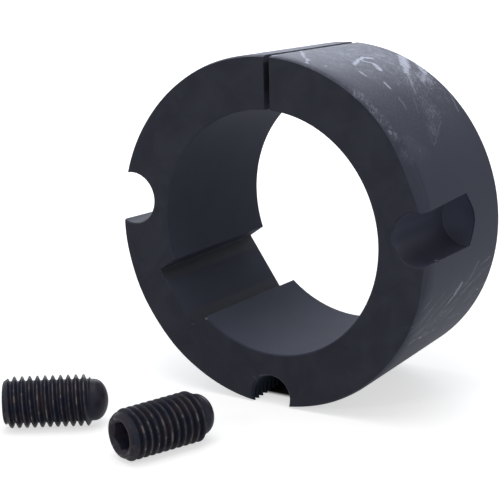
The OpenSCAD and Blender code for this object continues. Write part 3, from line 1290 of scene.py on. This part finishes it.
@dataclass
class Studio:
    """Floor, soft light and camera. Lengths are in metres."""

    floor_z: float = -53.5182 * MM
    floor_half: float = 6.0
    floor_glow: float = 0.62
    floor_mirrored: float = 0.6
    # where the painted shadow in the gap under the bush starts to show and where it is full, by side, front
    # and back
    shadow_sides: tuple[float, float] = (14 * MM, 9 * MM)
    shadow_front: tuple[float, float] = (4 * MM, 7 * MM)
    shadow_back: tuple[float, float] = (50 * MM, 46 * MM)
    ambient: float = 0.34
    white: Colour = (1.0, 1.0, 1.0, 1.0)
    pale: Colour = (0.8, 0.8, 0.8, 1.0)
    painted_shadow: Colour = (0.05, 0.05, 0.06, 1.0)
    camera_place: Triple = (0.4045048, -0.6104739, 0.2243906)
    camera_right: Triple = (0.83525157, 0.54845395, -0.03940908)
    camera_down: Triple = (0.13262675, -0.27049655, -0.9535417)
    lens: float = 184.43
    sensor: float = 36.0
    near_clip: float = 0.05
    lamps: tuple[SoftBox, ...] = (
        SoftBox("back_light", (-0.22, 0.52, 0.26), (0.02, 0.03, 0.02), 0.36, 1.1, (0.88, 0.95, 1.1)),
        SoftBox("top_light", (0.05, -0.05, 0.72), (0.0, 0.0, 0.0), 0.6, 1.8),
        SoftBox("front_light", (-0.1, -0.68, 0.33), (-0.03, -0.03, -0.04), 0.09, 0.45),
    )

    def shown(self, weave: Weave, mirrored: float = 1.0) -> Socket:
        """Returns 1 on camera and transmission rays, a share of it in reflections, and else 0."""
        path = weave.add("LightPath").outputs
        glossy = weave.times(path["Is Glossy Ray"], mirrored)
        return weave.most(path["Is Camera Ray"], glossy, path["Is Transmission Ray"])

    def world(self) -> None:
        """Makes the white surround: white where it is seen, an even grey light where it isn't."""
        world = bpy.data.worlds.new("studio_surround")
        bpy.context.scene.world = world
        weave = Weave(world)
        back = weave.add("Background")
        back.inputs["Color"].default_value = self.white
        weave.feed(back.inputs["Strength"], weave.line(self.shown(weave), 1.0 - self.ambient, self.ambient))
        weave.finish(back.outputs[0])

    def floor_material(self) -> Material:
        """Makes the floor's material: pale and glowing up to white, but with a dark painted shadow in the
        gap under the bush.

        Returns:
            The material.
        """
        weave = Weave(bpy.data.materials.new("pale_floor"))
        x, y, _ = weave.split(weave.add("NewGeometry").outputs["Position"])
        # painted shadow: dark colour and no glow in the gap under the bush
        gap = weave.times(
            weave.ramp(weave.math("ABSOLUTE", x), *self.shadow_sides),
            weave.ramp(y, *self.shadow_front),
            weave.ramp(y, *self.shadow_back),
        )
        diffuse = weave.add("BsdfDiffuse")
        weave.feed(diffuse.inputs["Color"], weave.mix(gap, self.pale, self.painted_shadow))
        glow = weave.add("Emission")
        glow.inputs["Color"].default_value = self.white
        own = weave.line(gap, -self.floor_glow, self.floor_glow)
        weave.feed(glow.inputs["Strength"], weave.times(self.shown(weave, self.floor_mirrored), own))
        both = weave.add("AddShader")
        weave.feed(both.inputs[0], diffuse.outputs[0])
        weave.feed(both.inputs[1], glow.outputs[0])
        return weave.finish(both.outputs[0])

    def floor(self) -> None:
        """Lays the floor, which keeps the soft shadow and fades to white."""
        half = self.floor_half
        square = ((-half, -half), (half, -half), (half, half), (-half, half))
        corners = [(x, y, self.floor_z) for x, y in square]
        mesh = bpy.data.meshes.new("floor")
        mesh.from_pydata(corners, [], [(0, 1, 2, 3)])
        mesh.materials.append(self.floor_material())
        floor = bpy.data.objects.new("floor", mesh)
        bpy.context.scene.collection.objects.link(floor)

    def light(self) -> None:
        """Hangs the soft lamps."""
        for box in self.lamps:
            data = bpy.data.lights.new(box.name, "AREA")
            data.shape = "SQUARE"
            data.size = box.side
            data.energy = box.power
            data.color = box.colour
            lamp = bpy.data.objects.new(box.name, data)
            lamp.location = box.place
            lamp.rotation_euler = (Vector(box.aim) - Vector(box.place)).to_track_quat("-Z", "Y").to_euler()
            bpy.context.scene.collection.objects.link(lamp)

    def camera(self) -> None:
        """Sets the camera where the photograph was taken from."""
        data = bpy.data.cameras.new("camera")
        data.sensor_width = self.sensor
        data.lens = self.lens
        data.clip_start = self.near_clip
        cam = bpy.data.objects.new("camera", data)
        right = Vector(self.camera_right).normalized()
        up = -Vector(self.camera_down)
        up = (up - right * up.dot(right)).normalized()
        turn = Matrix((right, up, right.cross(up))).transposed().to_4x4()
        cam.matrix_world = Matrix.Translation(self.camera_place) @ turn
        bpy.context.scene.collection.objects.link(cam)
        bpy.context.scene.camera = cam

    def build(self) -> None:
        """Sets up the whole studio."""
        self.world()
        self.floor()
        self.light()
        self.camera()
        bpy.context.scene.view_settings.view_transform = "Standard"


# Marks, measured on the photograph


SCUFFS = (
    # arrow-shaped rub and the short dashes round it
    Scuff(19.8, 20.5, 17.7, 25.9, 0.50, 1.00),
    Scuff(17.7, 25.9, 16.4, 31.3, 0.45, 1.00),
    Scuff(16.4, 31.3, 17.7, 33.9, 0.60, 1.00),
    Scuff(17.6, 27.5, 19.8, 28.5, 0.30, 0.90),
    Scuff(19.8, 28.5, 20.9, 30.3, 0.30, 0.90),
    Scuff(21.3, 30.0, 25.4, 28.2, 0.60, 1.00),
    Scuff(24.5, 17.3, 26.6, 17.2, 0.36, 0.75),
    Scuff(16.0, 39.5, 18.4, 41.0, 0.22, 0.60),
    Scuff(18.4, 41.0, 21.3, 42.4, 0.11, 0.35),
    Scuff(22.6, 38.2, 23.8, 38.8, 0.26, 0.60),
    Scuff(31.9, 21.6, 34.1, 21.1, 0.50, 0.75),
    Scuff(1.8, 40.4, 3.4, 40.2, 0.29, 0.40),
    # squiggle beside the split
    Scuff(1.0, 17.2, 2.9, 15.6, 0.36, 0.80),
    Scuff(2.9, 15.6, 8.9, 7.8, 0.36, 0.90),
    Scuff(8.9, 7.8, 10.5, 7.5, 0.36, 0.90),
    Scuff(10.5, 7.5, 13.6, 2.4, 0.34, 0.90),
    Scuff(1.7, 1.4, 2.6, 2.4, 0.30, 0.60),
    Scuff(17.4, 7.6, 17.8, 7.0, 0.26, 0.60),
    # broad bright rub near the small end, its tail, the fan beside it and the streak by the small end's edge
    Scuff(20.6, 48.9, 26.0, 42.9, 1.30, 1.00),
    Scuff(26.0, 42.9, 29.6, 38.9, 0.75, 0.85),
    Scuff(29.6, 38.9, 34.5, 34.6, 0.32, 0.50),
    Scuff(34.5, 34.6, 38.6, 32.2, 0.20, 0.35),
    Scuff(29.6, 39.0, 34.6, 35.6, 0.15, 0.30),
    Scuff(26.8, 50.0, 31.5, 47.9, 0.85, 0.90),
    Scuff(31.5, 47.9, 34.5, 42.0, 0.60, 0.60),
    Scuff(41.0, 50.3, 49.8, 46.3, 0.30, 0.22),
    # thin streaks below them
    Scuff(39.0, 20.8, 43.6, 18.7, 0.26, 0.18),
    Scuff(40.8, 27.6, 46.2, 24.0, 0.26, 0.10),
    Scuff(51.4, 32.8, 54.7, 27.1, 0.26, 0.10),
    Scuff(54.7, 27.1, 58.4, 20.9, 0.20, 0.09),
    Scuff(53.2, 23.5, 57.2, 20.9, 0.50, 0.04),
    Scuff(49.3, 1.2, 50.3, 1.6, 0.24, 0.35),
    # slanting scratches below the right half hole
    Scuff(103.2, 47.0, 104.4, 40.3, 0.12, 0.20),
    Scuff(102.2, 38.3, 108.7, 33.4, 0.40, 0.12),
    Scuff(107.8, 28.8, 110.8, 25.7, 0.60, 0.40),
    Scuff(110.8, 25.7, 113.0, 23.2, 0.35, 0.32),
    Scuff(113.0, 23.2, 117.4, 17.4, 0.14, 0.30),
    Scuff(115.6, 24.2, 120.1, 14.5, 0.10, 0.20),
    Scuff(106.6, 47.7, 112.2, 30.6, 0.10, 0.18),
    Scuff(111.8, 34.4, 118.0, 21.3, 0.10, 0.20),
    Scuff(124.1, 24.1, 123.5, 12.9, 0.12, 0.22),
    Scuff(124.1, 40.9, 122.6, 30.5, 0.20, 0.12),
    Scuff(114.7, 44.6, 115.8, 46.6, 0.17, 0.25),
    Scuff(123.1, 12.1, 123.8, 13.7, 0.22, 0.45),
    Scuff(122.1, 16.3, 122.8, 4.7, 0.17, 0.20),
)

CLOUDS = (
    # the pale top, part rub haze and part painted sheen, the clean patch behind the front edge, and what
    # fades out down the side
    Cloud(6.0, 24.0, 36.0, 46.0, 0.18),
    Cloud(24.0, 42.0, 26.0, 24.0, 0.14),
    Cloud(34.0, 10.5, 15.0, 9.0, -0.16),
    Cloud(44.0, 20.0, 9.0, 9.0, -0.08),
    Cloud(46.0, 34.0, 16.0, 22.0, 0.03),
    # fan, specks and smudges
    Cloud(33.0, 45.0, 5.0, 7.0, 0.26),
    Cloud(48.0, 31.0, 6.0, 8.0, 0.08),
    Cloud(53.0, 25.0, 4.0, 5.0, 0.09),
    Cloud(58.9, 2.7, 3.6, 3.8, 0.05),
    Cloud(59.4, 13.2, 3.6, 5.0, 0.04),
    Cloud(56.0, 8.0, 8.0, 9.0, 0.035),
    # pale flecks along the front edge
    Cloud(35.0, 3.0, 5.0, 5.0, 0.18),
    Cloud(43.0, 2.6, 8.0, 4.6, 0.12),
    Cloud(51.0, 3.0, 3.6, 3.6, 0.10),
    # low on the right, round the slanting scratches
    Cloud(112.0, 26.0, 18.0, 30.0, 0.01),
)

NICKS = (
    # on the right half hole's lower edge and at the keyway's corner
    Nick(94.4, 51.9, 9.6, 0.85, 1.00),
    Nick(219.0, 37.8, 0.1, 0.60, 0.90),
    # faint spots in a row above the threaded half hole
    Nick(188.3, 46.0, 0.2, 0.45, 0.14),
    Nick(187.6, 46.5, 0.3, 0.50, 0.16),
    Nick(186.9, 47.4, 0.5, 0.60, 0.22),
    Nick(186.1, 45.3, 0.3, 0.50, 0.16),
    Nick(185.3, 44.9, 0.3, 0.55, 0.24),
    Nick(184.2, 44.6, 0.3, 0.50, 0.20),
    Nick(183.4, 44.4, 0.3, 0.50, 0.22),
    Nick(182.0, 44.1, 0.3, 0.50, 0.10),
)


def main() -> None:
    """Builds the studio and the pieces, and logs each piece's face count."""
    logging.basicConfig(level=logging.INFO, format="%(name)s: %(message)s")
    Studio().build()
    iron = PhosphatedIron(scuffs=SCUFFS, clouds=CLOUDS, nicks=NICKS).material("phosphated_iron")
    steel = OiledBlackSteel().material("oiled_black_steel")
    pieces = [
        TaperBush().build(iron),
        ClampingScrew("left_screw_dressed", "left_clamping_screw", -60.9, -55.7, 33.0).build(steel),
        ClampingScrew("right_screw_dressed", "right_clamping_screw", -13.3, -62.2, 68.5).build(steel),
    ]
    for piece in pieces:
        log.info("%s: %d faces", piece.name, len(piece.data.polygons))


if __name__ == "__main__":
    main()
